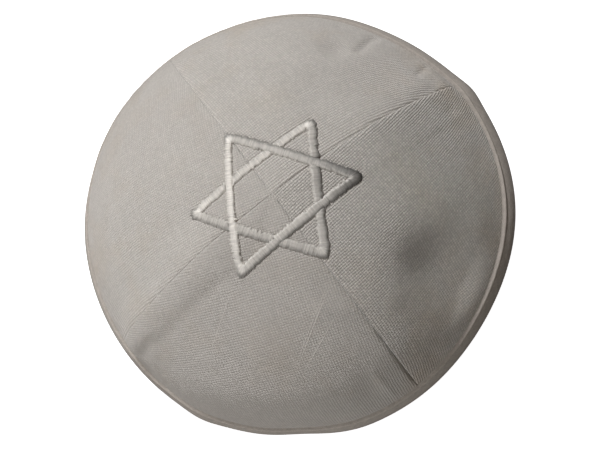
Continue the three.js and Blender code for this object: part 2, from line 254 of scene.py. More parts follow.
# How the tones of a weave differ: how much painted shade darkens the gaps between threads, from what
# level, how much a painted sheen lightens the threads where the warp crosses over and darkens them where
# the weft does, and how much single crossings differ
PIT_PAINTED_SHADE = 0.3
PIT_PAINTED_SHADE_LEVEL = 0.26
CHECK_PAINTED_SHEEN = 0.02
CROSSING_SHADE = 0.08

# The names of the cloth's map and of the satin threads' brightness, which holds a random tone, painted
# shade and painted sheen
CLOTH_MAP = "cloth"
TONE_AND_PAINTED_LIGHT_ATTRIBUTE = "thread_tone_and_painted_light"

# The ball whose surface the cap comes nearest to, for laying the cloth out flat
CLOTH_BALL = 0.101

# How the soiled linen's colour fades in its red, green and blue, and the soft spots' size and spread
SOIL = (0.96, 0.91, 0.85)
SOIL_SCALE = 42
SOIL_CONTRAST = 3.6
SOIL_CLEAN = 1.75
SOIL_TOP = 1.25

# A painted highlight along the bead's crest, and painted shade where the tape meets the floor
CREST_WIDTH = 0.0008
CREST_PAINTED_HIGHLIGHT = 0.25
FOOT_BELOW_CREST = 0.0066
FOOT_FADE = 0.0025
FOOT_PAINTED_SHADE = 0.4

# How deep a slub lies in the cloth, as a share of its radius, and how blunt its ends are
SLUB_SUNK = 0.35
SLUB_END = 0.02

# The arcs over which seams fade in from the crown, the degrees over which a strip fades out, and how far
# above the binding folds and swells are free
CROWN_FADE = (0.002, 0.008)
STRIP_FADE = (22, 40)
FOLD_FADE = 0.006
SWELL_FADE = 0.011

# Thick places in the yarn that show as pale lines, on the cap rolled out flat round its crown
SLUBS = table(
    "from_x from_y to_x to_y radius",
    (-0.0155, 0.0352, -0.0072, 0.0206, 0.0002),
    (-0.0246, 0.0395, -0.0127, 0.0189, 0.0002),
    (-0.0254, 0.0289, -0.0174, 0.0151, 0.00018),
    (-0.037, 0.0346, -0.0265, 0.0165, 0.00018),
    (0.0007, 0.0466, -0.0113, 0.0440, 0.00016),
    (-0.0014, 0.0343, -0.0096, 0.0304, 0.00016),
    (-0.0024, -0.0372, -0.0344, -0.0551, 0.0002),
    (-0.0028, -0.0364, -0.0348, -0.0543, 0.00018),
    (-0.0293, -0.0157, -0.0586, -0.0306, 0.00018),
    (-0.0032, -0.0456, -0.0354, -0.0585, 0.00016),
    (0.0353, -0.0087, 0.0184, -0.0264, 0.00018),
    (0.0621, 0.0151, 0.0507, 0.0015, 0.00018),
    (0.0011, 0.0415, 0.0203, 0.0202, 0.00016),
    (-0.0120, 0.0429, 0.0011, 0.0415, 0.00016),
    (0.0028, 0.0096, 0.0077, 0.0023, 0.00016),
)

# How finely the panels are divided: the inner half of the rows takes up the first part of the arc, and
# the columns lie closer by the seams
PANEL_ROWS = 160
PANEL_MIDDLE_COLUMNS = 128
CROWN_ROWS = 0.5
CROWN_REACH = 0.36
ALLOWANCE_COLUMNS = 6
TURN_STEPS = 8
EDGE_DISTANCES = (0.0001, 0.00025, 0.00045, 0.0007, 0.0011, 0.0016, 0.0023)

# How near its tip a panel starts, how wide the last of the turned edge still is, how far past the turn the
# cloth counts as lying under the panel, and half the gap in a seam
TIP_ARC = 0.00015
EDGE_ROOM = 0.0032
UNDER_PAST = 0.001
HALF_SEAM_GAP = 0.00001

# The binding: where the cloth ends in its fold, with what room, and where the fold holds it, the tape's
# faces from the wall's middle surface, how much deeper it sits on the steep back, how far behind the cloth
# it stays, and where its outer edge rolls under
RIM_STEPS = 480
CLOTH_END = 0.003
CLOTH_ROOM = 0.0004
HELD_AT = 0.005
TAPE_FACE = 0.0
TAPE_INNER_BACK = -0.0017
TAPE_INNER_FACE = -0.0027
TAPE_STEEP_DIP = 0.0004
BACK_ROOM = 0.0001
ROLLED_AZIMUTH = 312
ROLLED_SPREAD = 36

# Lines along the foot of the tape's outer face, from the floor up: how far each is set in and how high it
# lies, and what the rolled edge adds to both
FOOT_LINES = table(
    "inset height rolled_inset rolled_height",
    (0.0005, 0.0, 0.0009, 0.0),
    (0.0003, 0.00012, 0.0007, 0.0001),
    (0.00015, 0.0005, 0.0003, 0.0002),
)

# Lines along the tape's outer face, from the foot up: how far each lies from the rim and how far it stands
# out, and what the rolled edge and the sewing's puckers add to that
FACE_LINES = table(
    "from_rim rise rolled_rise pucker",
    (0.0012, -0.00005, -0.0001, 0.0),
    (0.0022, 0.00005, 0.0001, 0.0),
    (0.0034, 0.00012, 0.0, 0.3),
    (0.0046, 0.0001, 0.0, 0.7),
)

# The tape's inner leg, from its round top edge down: the edge's angles, a line on the leg, and the foot's
# lines with how far each lies inwards and how high
INNER_EDGE_ANGLES = (90, 45, 0, -45, -80)
INNER_LEG_LINE = 0.0045
INNER_FOOT = ((0.0026, 0.0014), (0.0024, 0.0005), (0.0021, 0.0001), (0.0017, 0.0))

# The raised edge along the tape's top: how far its groove, foot, crest and back lie below the top and its
# end above it, how high the crest stands, how deep the groove and the tucked end are, and how much of the
# sewing's puckers it takes
BEAD_GROOVE_BELOW = 0.0026
BEAD_FOOT_BELOW = 0.0022
BEAD_CREST_BELOW = 0.0013
BEAD_BACK_BELOW = 0.001
BEAD_END_ABOVE = 0.0001
BEAD_RISE = 0.00034
BEAD_GROOVE = 0.0001
BEAD_TUCK = 0.00005
BEAD_PUCKER = 0.8
BEAD_STEPS = 5
BEAD_CREST_ROW = len(FOOT_LINES) + len(FACE_LINES) + BEAD_STEPS

# The stitches that hold the binding: how many there are, where each begins and ends in its own share of
# the rim, how far its ends dive, how deep and how far below the tape's top they lie, and their radius
SEWN_STITCHES = 214
SEWN_REACH = (0.08, 0.92)
SEWN_DIVE = 0.00025
SEWN_SUNK = 0.00016
SEWN_BELOW = 0.0019
SEWN_RADIUS = 0.00012

# Two sizes of small puckers that the sewing draws in the tape: how close they follow and how high they are
TAPE_PUCKERS = table(
    "closeness layer height",
    (28, 0.0, 0.00014),
    (60, 5.0, 0.0001),
)

# The key light and the broad light from the left: direction, elevation and breadth in degrees
SUNS = table(
    "name azimuth elevation breadth",
    ("key_light", 80, 39.5, 14),
    ("side_light", 205, 16, 64),
)

# The light from all round is warm, and it is stronger towards the way that it leans
FILL_COLOUR = (1.0, 0.90, 0.78, 1)
FILL_LEAN = (-0.3, 0.12, 0.45)
FILL_EVEN = 0.7
BACKDROP_COLOUR = (0.95, 0.95, 0.95, 1)

# The camera, fitted to where the cap's outline, seams and star fall in the picture
CAMERA_PLACE = Vector((0.0008, -0.10388, 0.40627))
CAMERA_TILT = math.radians(13.80)
CAMERA_ROLL = math.radians(-38.43)
CAMERA_LENS = 64.08


def size_property(name, description, default):
    return bpy.props.FloatProperty(name=name, description=description, default=default, unit="LENGTH")


def strength_property(name, description, default):
    return bpy.props.FloatProperty(name=name, description=description, default=default, min=0.0)


def colour_property(name, description, default):
    return bpy.props.FloatVectorProperty(
        name=name, description=description, subtype="COLOR", size=3, default=default
    )


class KippahSizes(bpy.types.PropertyGroup):
    """Sizes of the cap that a user may change"""

    cloth: size_property("Cloth", "Thickness of the linen", 0.0004)
    face: size_property("Cloth face", "The linen's outer face, from the wall's middle surface", -0.0005)
    turn: size_property("Turned edge", "Radius of a panel's turned edge at a seam", 0.00045)
    allowance: size_property("Seam allowance", "Width of the cloth turned under at a seam", 0.0085)
    tape_leg: size_property("Tape", "How far the binding reaches up the outside", 0.0077)
    tape_back: size_property("Tape inside", "How far the binding reaches up the inside", 0.0068)
    column: size_property("Satin column", "Width of the star's satin columns", 0.0035)
    column_height: size_property("Satin height", "Height of the star's satin columns", 0.00062)
    thread: size_property("Satin thread", "Radius of the satin thread", 0.0002)
    pitch: size_property("Stitch pitch", "Distance between satin stitches", 0.0004)


class KippahColours(bpy.types.PropertyGroup):
    """Colours of the cap and strengths of its light that a user may change"""

    linen: colour_property("Linen", "Colour of the linen", (0.68, 0.646, 0.613))
    tape: colour_property("Tape", "Colour of the binding tape", (0.51, 0.465, 0.425))
    satin: colour_property("Satin", "Colour of the satin thread", (0.86, 0.83, 0.79))
    key: strength_property("Key light", "Strength of the key light", 2.5)
    side: strength_property("Side light", "Strength of the broad light from the left", 1.35)
    fill: strength_property("Fill light", "Strength of the light from all round", 0.15)


def waves(rows, azimuth):
    """Sum of the waves at an azimuth in radians."""
    return sum(
        wave.cosine * np.cos(wave.per_turn * azimuth) + wave.sine * np.sin(wave.per_turn * azimuth)
        for wave in rows
    )


def azimuth_gap(azimuth, degrees):
    """The signed angle from a direction in degrees to an azimuth in radians, in degrees."""
    return (np.degrees(azimuth) - degrees + 180) % 360 - 180


def smooth(low, high, value):
    """0 below low, 1 above high, and an even S between."""
    share = np.clip((value - low) / (high - low), 0, 1)
    return share * share * (3 - 2 * share)


def near_azimuth(azimuth, degrees, spread):
    """1 at a direction in degrees, and less the further away from it."""
    return np.exp(-0.5 * (azimuth_gap(azimuth, degrees) / spread) ** 2)


def hump(distance, spread):
    """1 at no distance, and close to 0 at twice the spread."""
    return np.exp(-((distance / spread) ** 2))


def rim_radius(azimuth):
    bumps = sum(bump.rise * near_azimuth(azimuth, bump.azimuth, bump.spread) for bump in RIM_BUMPS)
    return RIM_RADIUS + waves(RIM_WAVES, azimuth) + bumps


def profile(azimuth):
    """The wall's lean at the rim, the radii of its crown and shoulder arcs, the crown arc's end and the
    whole arc's length. The radii follow from the rim's radius, the cap's height and the lean."""
    steep = STEEP_LEAN * near_azimuth(azimuth, STEEP_AZIMUTH, STEEP_SPREAD)
    lean = np.radians(MEAN_LEAN + waves(LEAN_WAVES, azimuth) + steep)
    radius = rim_radius(azimuth)
    crown_reach = math.sin(SHOULDER_LEAN)
    crown_drop = 1 - math.cos(SHOULDER_LEAN)
    shoulder_reach = np.sin(lean) - crown_reach
    shoulder_drop = math.cos(SHOULDER_LEAN) - np.cos(lean)
    determinant = crown_reach * shoulder_drop - shoulder_reach * crown_drop
    crown_radius = (radius * shoulder_drop - shoulder_reach * CAP_HEIGHT) / determinant
    shoulder_radius = (crown_reach * CAP_HEIGHT - crown_drop * radius) / determinant
    crown_arc = crown_radius * SHOULDER_LEAN
    length = crown_arc + shoulder_radius * (lean - SHOULDER_LEAN)
    return lean, crown_radius, shoulder_radius, crown_arc, length


def wall_length(azimuth):
    """The arc from the crown down to the rim."""
    return profile(azimuth)[4]


def rim_kink(azimuth, from_rim):
    """How far the kinks in the rim push the wall outwards."""
    return sum(
        kink.rise * near_azimuth(azimuth, kink.azimuth, kink.spread) * (1 - smooth(0, kink.reach, from_rim))
        for kink in RIM_KINKS
    )


def centred_point(azimuth, arc, offset):
    """A place on the cap round its own crown axis: arc from the crown, offset outwards."""
    _, crown_radius, shoulder_radius, crown_arc, length = profile(azimuth)
    on_crown = arc < crown_arc
    radius = np.where(on_crown, crown_radius, shoulder_radius)
    from_shoulder = SHOULDER_LEAN + (arc - crown_arc) / shoulder_radius
    lean = np.where(on_crown, arc / crown_radius, from_shoulder)
    centres_apart = crown_radius - radius
    reach = radius * np.sin(lean) + centres_apart * math.sin(SHOULDER_LEAN)
    drop = crown_radius - radius * np.cos(lean) - centres_apart * math.cos(SHOULDER_LEAN)
    distance = reach + offset * np.sin(lean) + rim_kink(azimuth, length - arc)
    height = CAP_HEIGHT - drop + offset * np.cos(lean)
    return np.stack([distance * np.cos(azimuth), distance * np.sin(azimuth), height], axis=-1)


def crown_axis():
    """Where the crown's axis stands: the binding's outline is centred on its CAD node's box."""
    low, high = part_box("rim_binding")
    azimuth = np.linspace(0, FULL_TURN, 721)
    outline = centred_point(azimuth, wall_length(azimuth), np.zeros_like(azimuth))
    middle = (outline.min(axis=0) + outline.max(axis=0)) / 2
    centre = (low + high) / 2
    return np.array([centre.x - middle[0], centre.y - middle[1], 0.0])


CROWN_AXIS = crown_axis()


def cap_point(azimuth, arc, offset):
    return centred_point(azimuth, arc, offset) + CROWN_AXIS


def flat_place(azimuth_degrees, arc):
    """A place on the cap rolled out flat round its crown, as a complex number."""
    return arc * np.exp(1j * np.radians(azimuth_degrees))


def distance_to_segment(place, start, end):
    along = end - start
    share = np.clip(((place - start) * np.conj(along)).real / abs(along) ** 2, 0, 1)
    return np.abs(place - start - share * along)


def fold_rise(place, panel):
    """How far folds lift the cloth at a flat place."""
    rise = np.zeros(place.shape)
    for fold in FOLDS:
        if fold.panel in (panel, "every"):
            start = flat_place(fold.from_azimuth, fold.from_arc)
            end = flat_place(fold.to_azimuth, fold.to_arc)
            rise += fold.rise * hump(distance_to_segment(place, start, end), fold.spread)
    return rise


def swell_rise(place):
    """How far the wide hollows and swellings lift the cloth at a flat place."""
    return sum(
        swell.rise * hump(np.abs(place - flat_place(swell.azimuth, swell.arc)), swell.spread)
        for swell in SWELLS
    )


def side_distance(azimuth, arc, row):
    """Distance from a seam into the side that a row names, and which places lie on that side."""
    gap = azimuth_gap(azimuth, row.seam)
    inward = arc * np.radians(gap) * (-1 if row.side == "before" else 1)
    return inward, (inward >= 0) & (np.abs(gap) < 45)


def near_rim(arc):
    """1 past the arc where the seams' grooves change, 0 before it."""
    return smooth(GROOVE_OUTER_ARC - CHANGE_REACH, GROOVE_OUTER_ARC + CHANGE_REACH, arc)


def seam_opening(seam, arc):
    """How far a seam opens at an arc, as a share of the turned edge's radius."""
    on_wall = smooth(STAR_ARC - CHANGE_REACH, STAR_ARC + CHANGE_REACH, arc)
    inner = seam.crown_opening + (seam.wall_opening - seam.crown_opening) * on_wall
    return inner + (seam.rim_opening - inner) * near_rim(arc)


def seam_rise(azimuth, arc):
    """The dip of each side into its seam, and the strips that the allowances lift."""
    rise = np.zeros(arc.shape)
    away = smooth(*CROWN_FADE, arc)
    for groove in GROOVES:
        inward, here = side_distance(azimuth, arc, groove)
        dip = groove.dip + groove.outer_dip * near_rim(arc)
        rise -= here * away * dip * hump(inward, groove.spread)
    for strip in STRIPS:
        inward, here = side_distance(azimuth, arc, strip)
        narrow = 1 - smooth(*STRIP_FADE, np.degrees(inward / arc))
        rise += here * away * strip.lift * (1 - smooth(0, strip.edge, inward - strip.width)) * narrow
    return rise


def relief(azimuth, arc, panel, leg):
    """How far the cloth is lifted or sunk at an azimuth and an arc. Near the binding, which holds it flat,
    that dies out."""
    place = arc * np.exp(1j * azimuth)
    above_binding = wall_length(azimuth) - leg - arc
    narrow = fold_rise(place, panel) + seam_rise(azimuth, arc)
    wide = swell_rise(place)
    return narrow * smooth(0, FOLD_FADE, above_binding) + wide * smooth(0, SWELL_FADE, above_binding)


def meet(point, along, other_point, other_along):
    """Where two flat lines cross."""
    between = other_point - point
    share = (np.conj(between) * other_along).imag / (np.conj(along) * other_along).imag
    return point + share * along


def unit(vector):
    return vector / abs(vector)


def corner_stations(before, tip, after, arriving_half, leaving_half):
    """Left and right edge points of the satin round a tip: fanned on the outside, one corner inside."""
    arriving = unit(tip - before)
    leaving = unit(after - tip)
    arriving_side = 1j * arriving * arriving_half
    leaving_side = 1j * leaving * leaving_half
    inside = meet(before - arriving_side, arriving, tip - leaving_side, leaving)
    outwards = unit(arriving - leaving)
    left = [
        inside + 2 * arriving_side,
        tip + arriving_side,
        tip + outwards * (arriving_half + leaving_half) / 2,
        tip + leaving_side,
        inside + 2 * leaving_side,
    ]
    return left, [inside] * len(left)


def triangle_stations(tips, half, steps=24):
    """Left and right edges of a whole triangle's satin column, in order, with its sides bowed, the painted
    shade on its outside, and its painted sheen."""
    places = [flat_place(tip.azimuth, tip.arc) for tip in tips]
    corners = [
        corner_stations(
            places[i - 1], places[i], places[(i + 1) % 3], half * tips[i - 1].width, half * tips[i].width
        )
        for i in range(3)
    ]
    stations = []
    for i, tip in enumerate(tips):
        before = tips[i - 1]
        arriving = (before.dark, before.shine)
        leaving = (tip.dark, tip.shine)
        between = ((before.dark + tip.dark) / 2, (before.shine + tip.shine) / 2)
        looks = (arriving, arriving, between, leaving, leaving)
        stations += [(left, right, *look) for left, right, look in zip(*corners[i], looks)]
        left, right = (edge[-1] for edge in corners[i])
        next_left, next_right = (edge[0] for edge in corners[(i + 1) % 3])
        outwards = 1j * unit(places[(i + 1) % 3] - places[i])
        for step in range(1, steps):
            share = step / steps
            bow = outwards * tip.bow * 4 * share * (1 - share)
            bowed_left = left + (next_left - left) * share + bow
            bowed_right = right + (next_right - right) * share + bow
            stations.append((bowed_left, bowed_right, *leaving))
    stations.append(stations[0])
    return [np.array(row) for row in zip(*stations)]


def even_stitches(left, right, dark, shine, pitch):
    """Stitches spaced evenly along the stations, a little closer where they fan out."""
    left_step = np.abs(np.diff(left))
    right_step = np.abs(np.diff(right))
    step = (left_step + right_step) / 2 + np.abs(left_step - right_step) / 4
    run = np.concatenate([[0], np.cumsum(step)])
    at = np.arange(0, run[-1] - pitch / 2, pitch)
    return [np.interp(at, run, row) for row in (left, right, dark, shine)]


def distance_to_run(place, run):
    """Distance from flat places to a run of flat points."""
    nearest = np.full(place.shape, 1.0)
    for start, end in zip(run[:-1], run[1:]):
        if abs(end - start) > 0:
            nearest = np.minimum(nearest, distance_to_segment(place, start, end))
    return nearest


def panel_of(azimuth_degrees):
    """The name of the panel at a direction."""
    found = [seam.panel for seam in SEAMS if azimuth_degrees % 360 >= seam.azimuth]
    return found[-1]


def select_only(piece):
    bpy.ops.object.select_all(action="DESELECT")
    piece.select_set(True)
    bpy.context.view_layer.objects.active = piece


def named(piece, name):
    piece.name = name
    piece.data.name = name
    return piece


def new_grid(name, points):
    """A grid piece whose vertices are moved to an array of points."""
    rows, columns, _ = points.shape
    bpy.ops.object.select_all(action="DESELECT")
    bpy.ops.mesh.primitive_grid_add(x_subdivisions=columns - 1, y_subdivisions=rows - 1, size=1)
    piece = named(bpy.context.active_object, name)
    piece.data.vertices.foreach_set("co", points.astype(np.float32).ravel())
    piece.data.update()
    return piece


def lay_uv(piece, across, along):
    """Writes the cloth's map in metres, from one pair of numbers a vertex."""
    mesh = piece.data
    corners = np.empty(len(mesh.loops), dtype=np.int32)
    mesh.loops.foreach_get("vertex_index", corners)
    both = np.stack([across.ravel()[corners], along.ravel()[corners]], axis=-1)
    layer = mesh.uv_layers[0]
    layer.name = CLOTH_MAP
    layer.uv.foreach_set("vector", both.astype(np.float32).ravel())


def finish_piece(piece, material, slot, *nodes):
    """Gives a finished piece its material, smooth shading and body, and hides the CAD nodes that it stands
    for.
    Its slot is not used.
    """
    piece.data.materials.clear()
    piece.data.materials.append(material)
    select_only(piece)
    bpy.ops.object.shade_smooth()
    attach(piece, "root")
    if nodes:
        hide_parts(*nodes)
    return piece


class Signal:
    """A number that varies over a surface. Arithmetic on it adds math nodes to its material."""

    def __init__(self, nodes, socket):
        self.nodes = nodes
        self.socket = socket

    def math(self, operation, other=0.0):
        made = self.nodes.node("ShaderNodeMath", {0: self, 1: other}, operation=operation)
        return Signal(self.nodes, made.outputs[0])

    def __add__(self, other):
        return self.math("ADD", other)

    def __sub__(self, other):
        return self.math("SUBTRACT", other)

    def __mul__(self, other):
        return self.math("MULTIPLY", other)

    def __truediv__(self, other):
        return self.math("DIVIDE", other)

    def __pow__(self, other):
        return self.math("POWER", other)


class Nodes:
    """A node tree and what is added to it, one call a node."""

    def __init__(self, tree):
        self.tree = tree

    def node(self, kind, inputs=None, **settings):
        """Adds a node. Its inputs are fed by their names or numbers."""
        made = self.tree.nodes.new(kind)
        for key, value in settings.items():
            setattr(made, key, value)
        for key, value in (inputs or {}).items():
            self.feed(made.inputs[key], value)
        return made

    def feed(self, socket, value):
        if isinstance(value, Signal):
            value = value.socket
        if isinstance(value, bpy.types.NodeSocket):
            self.tree.links.new(value, socket)
        else:
            socket.default_value = value


class Shader(Nodes):
    """A material that is built up from nodes."""

    def __init__(self, name):
        self.material = bpy.data.materials.new(name)
        self.material.use_nodes = True
        super().__init__(self.material.node_tree)
        self.surface = self.tree.nodes["Principled BSDF"]

    def combine(self, x, y, z):
        return self.node("ShaderNodeCombineXYZ", {0: x, 1: y, 2: z}).outputs[0]

    def split(self, vector):
        made = self.node("ShaderNodeSeparateXYZ", {0: vector})
        return [Signal(self, part) for part in made.outputs]

    def noise(self, vector, scale, detail=2.0, roughness=0.5):
        inputs = {"Vector": vector, "Scale": scale, "Detail": detail, "Roughness": roughness}
        return Signal(self, self.node("ShaderNodeTexNoise", inputs).outputs["Fac"])

    def chance(self, vector):
        """A random number for each whole-numbered vector."""
        return Signal(self, self.node("ShaderNodeTexWhiteNoise", {"Vector": vector}).outputs["Value"])

    def cloth_place(self):
        return self.node("ShaderNodeUVMap", uv_map=CLOTH_MAP).outputs["UV"]

    def objects_place(self):
        return self.node("ShaderNodeTexCoord").outputs["Object"]

    def grain(self, scale, detail=2.0, roughness=0.5):
        """Noise that is fixed in the object."""
        return self.noise(self.objects_place(), scale, detail, roughness)

    def turned(self, vector, degrees):
        turn = (0, 0, math.radians(degrees))
        return self.node("ShaderNodeMapping", {"Vector": vector, "Rotation": turn}).outputs["Vector"]

    def soiled(self, colour):
        """A plain colour, browner in soft spots low on the cap."""
        spots = self.grain(SOIL_SCALE, detail=3.0, roughness=0.6) * SOIL_CONTRAST - SOIL_CLEAN
        low = self.split(self.objects_place())[2] * (-1 / CAP_HEIGHT) + SOIL_TOP
        brown = (part * fade for part, fade in zip(colour, SOIL))
        inputs = {"Factor": spots * low, "A": (*colour, 1), "B": (*brown, 1)}
        return self.node("ShaderNodeMix", inputs, data_type="RGBA", clamp_factor=True).outputs["Result"]

    def set(self, **constants):
        """Sets plain numbers and colours on the shader's own sockets."""
        for name, value in constants.items():
            self.surface.inputs[name.replace("_", " ")].default_value = value
        return self.material

    def tint_and_bump(self, colour, brightness, height, relief, **constants):
        """Gives the surface a colour that a varying number makes lighter or darker, a relief whose height
        is a share of a distance, and its plain numbers."""
        tint = self.node("ShaderNodeVectorMath", {0: colour, "Scale": brightness}, operation="SCALE")
        bump = self.node("ShaderNodeBump", {"Height": height, "Distance": relief})
        self.feed(self.surface.inputs["Base Color"], tint.outputs[0])
        self.feed(self.surface.inputs["Normal"], bump.outputs["Normal"])
        return self.set(**constants)


def plain_weave(shader, weave, streaks):
    """Height, brightness and thickness of a plain weave: threads cross over and under at the real spacing,
    each a little thicker or thinner along its way. The brightness holds painted shade in the gaps between
    threads and a painted sheen on the crossings."""
    place = shader.cloth_place()
    across, along, _ = shader.split(shader.turned(place, weave.turn))
    shift = (shader.noise(place, scale=110.0) - 0.5) * THREAD_WANDER
    warp = across / weave.across + shift
    weft = along / weave.along - shift
    warp_wave = (warp * math.pi).math("COSINE")
    weft_wave = (weft * math.pi).math("COSINE")
    over = warp_wave * weft_wave
    level = 1 - THREAD_CROSSING
    warp_height = warp_wave.math("ABSOLUTE") ** THREAD_ROUND * (over * THREAD_CROSSING + level)
    weft_height = weft_wave.math("ABSOLUTE") ** THREAD_ROUND * (over * -THREAD_CROSSING + level)
    chance = shader.chance(shader.combine(warp.math("ROUND"), weft.math("ROUND"), 1.0))
    loft = chance * THREAD_LOFT + (1 - THREAD_LOFT / 2)
    height = warp_height.math("MAXIMUM", weft_height) * loft
    warp_run = shader.combine(warp, along / THREAD_STRETCH, 3.0)
    weft_run = shader.combine(across / THREAD_STRETCH, weft, 9.0)
    thickness = shader.noise(warp_run, 1.1, detail=1.0) + shader.noise(weft_run, 1.1, detail=1.0)
    streak = (thickness - 1.0) * streaks + 1.0
    # Painted shade in the gaps between threads, and painted sheen where the warp or the weft lies on top
    painted_pit_shade = height * (PIT_PAINTED_SHADE * weave.contrast) + (1 - PIT_PAINTED_SHADE_LEVEL * weave.contrast)
    painted_check_sheen = over * (CHECK_PAINTED_SHEEN * weave.contrast) + 1.0
    spots = (chance - 0.5) * (CROSSING_SHADE * weave.contrast) + painted_check_sheen
    return height, painted_pit_shade * spots * streak, thickness


def linen_material(name, weave, colour):
    """Undyed linen, with pale and dark streaks along its threads and soft brown spots."""
    shader = Shader(name)
    height, brightness, thickness = plain_weave(shader, weave, streaks=0.09)
    mottle = shader.grain(scale=55.0, detail=3.0)
    # Random mottle on the panel's painted shade
    tone_and_painted_light = (mottle - 0.5) * 0.10 + weave.shade
    return shader.tint_and_bump(
        shader.soiled(colour),
        brightness * tone_and_painted_light,
        thickness * 0.1 + height,
        weave.height,
        Roughness=0.85,
        Specular_IOR_Level=0.25,
        Sheen_Weight=0.15,
        Sheen_Roughness=0.5,
    )


def tape_material(colour):
    """Finer cloth than the linen, with a painted highlight along the bead's crest and painted shade at its
    foot.
    """
    shader = Shader("binding_tape")
    height, brightness, _ = plain_weave(shader, TAPE_WEAVE, streaks=0.25)
    mottle = shader.grain(scale=500.0, detail=3.0)
    upwards = shader.split(shader.cloth_place())[1]
    # The crest's painted highlight and the painted shade at the foot, on a random mottle
    crest = (upwards.math("ABSOLUTE") * (-1 / CREST_WIDTH) + 1.0).math("MAXIMUM", 0.0)
    foot = ((upwards + FOOT_BELOW_CREST) / FOOT_FADE).math("MAXIMUM", 0.0).math("MINIMUM", 1.0)
    tone_and_painted_light = (mottle - 0.5) * 0.35 + crest * CREST_PAINTED_HIGHLIGHT + foot * FOOT_PAINTED_SHADE + TAPE_WEAVE.shade
    return shader.tint_and_bump(
        colour,
        brightness * tone_and_painted_light,
        height,
        TAPE_WEAVE.height,
        Roughness=0.8,
        Specular_IOR_Level=0.3,
        Sheen_Weight=0.1,
    )


def slub_material(colour):
    """The linen's own yarn, without its weave."""
    shader = Shader("linen_slub")
    fibres = shader.grain(scale=900.0, detail=3.0)
    return shader.tint_and_bump(
        colour, fibres * 0.3 + 0.77, fibres, 0.00005, Roughness=0.75, Sheen_Weight=0.15
    )


def satin_material(colour):
    """Glossy thread, as light or dark as each stitch's random tone, painted shade and painted sheen."""
    shader = Shader("satin_thread")
    made = shader.node("ShaderNodeAttribute", attribute_name=TONE_AND_PAINTED_LIGHT_ATTRIBUTE, attribute_type="GEOMETRY")
    tone_and_painted_light = made.outputs["Fac"]
    fibres = shader.grain(scale=4000.0)
    return shader.tint_and_bump(
        colour, tone_and_painted_light, fibres, 0.00002, Metallic=0.1, Roughness=0.42, Specular_IOR_Level=0.5
    )


def sewing_material(colour):
    """Plain thread in the tape's colour."""
    shader = Shader("sewing_thread")
    fibres = shader.grain(scale=3000.0)
    return shader.tint_and_bump(
        colour, fibres * 0.3 + 0.85, fibres, 0.00002, Roughness=0.6, Specular_IOR_Level=0.4
    )


def side_columns(turn, allowance):
    """The columns at one side of a panel, from the raw edge under the cloth, round the turned edge and on
    to the face: how far the turn holds them off the seam, the cloth beyond the turn, the depth under the
    face, the distance along the laid-out cloth, and how far that equals the distance from the seam."""
    quarter = turn * math.pi / 2
    laid = np.concatenate([
        -quarter - np.linspace(allowance, allowance / ALLOWANCE_COLUMNS, ALLOWANCE_COLUMNS),
        np.linspace(-quarter, quarter, TURN_STEPS + 1),
        quarter + np.array(EDGE_DISTANCES),
    ])
    angle = np.clip((quarter - laid) / turn, 0, math.pi)
    beyond = np.maximum(0, np.abs(laid) - quarter)
    held_off = turn * (1 - np.sin(angle))
    depth = turn * (1 - np.cos(angle))
    settled = np.where(laid > 0, beyond / EDGE_DISTANCES[-1], 0)
    return held_off, beyond, depth, laid - quarter + turn, settled


def side_grid(seam, arc, half, sizes):
    """One side of a panel, with its columns from the seam inwards: distance from the seam, the same in the
    laid-out cloth, and depth under the face. All of it shrinks where the panel narrows to its tip, but the
    turned-under cloth stays below."""
    held_off, beyond, depth, laid, settled = side_columns(sizes.turn, sizes.allowance)
    shrink = np.minimum(1, half / EDGE_ROOM)
    under = np.minimum(1, half / (sizes.allowance + EDGE_ROOM))
    scale = np.where(laid < -UNDER_PAST, under, shrink)
    distance = held_off * seam_opening(seam, arc) + beyond
    cloth = laid * (1 - settled) + distance * settled
    sunk = depth * (shrink + (1 - shrink) * depth / depth.max())
    return distance * scale, cloth * scale, sunk


def panel_grid(seam, next_seam, sizes):
    """For each row, from the rim to the crown, and each column: azimuth, arc, depth under the face, and
    the azimuth that the place has in the laid-out cloth."""
    start = math.radians(seam.azimuth)
    end = math.radians(next_seam.azimuth)
    if end < start:
        end += FULL_TURN
    middle = (start + end) / 2
    half_angle = (end - start) / 2
    held_off, beyond, *_ = side_columns(sizes.turn, sizes.allowance)
    from_edge = (held_off * seam.wall_opening + beyond) / ((RIM_RADIUS + sizes.tape_leg) * half_angle)
    count = len(from_edge)
    inner = np.linspace(0, 1, PANEL_MIDDLE_COLUMNS + 2)[1:-1]
    inner_nominal = (inner * 2 - 1) * (1 - from_edge[-1])
    nominal = np.concatenate([-1 + from_edge, inner_nominal, 1 - from_edge[::-1]])
    length = wall_length(middle + nominal * half_angle) - CLOTH_END
    even = np.linspace(1, 0, PANEL_ROWS + 1)[:, None]
    share = np.interp(even, (0, CROWN_ROWS, 1), (0, CROWN_REACH, 1))
    arc = TIP_ARC + (length - TIP_ARC) * share
    half = arc * half_angle - HALF_SEAM_GAP
    left_half = half[:, :count]
    right_half = half[:, -count:]
    left, left_cloth, left_sunk = side_grid(seam, arc[:, :count], left_half, sizes)
    mirrored = side_grid(next_seam, arc[:, :-count - 1:-1], right_half[:, ::-1], sizes)
    right, right_cloth, right_sunk = (grid[:, ::-1] for grid in mirrored)
    inner_half = half[:, count:-count]
    inner_width = 2 * inner_half - left[:, -1:] - right[:, :1]
    inside = left[:, -1:] - inner_half + inner * inner_width
    across = np.concatenate([left - left_half, inside, right_half - right], axis=1)
    cloth = np.concatenate([left_cloth - left_half, inside, right_half - right_cloth], axis=1)
    sunk = np.concatenate([left_sunk, np.zeros(inside.shape), right_sunk], axis=1)
    return middle + across / arc, arc, sunk, cloth / arc


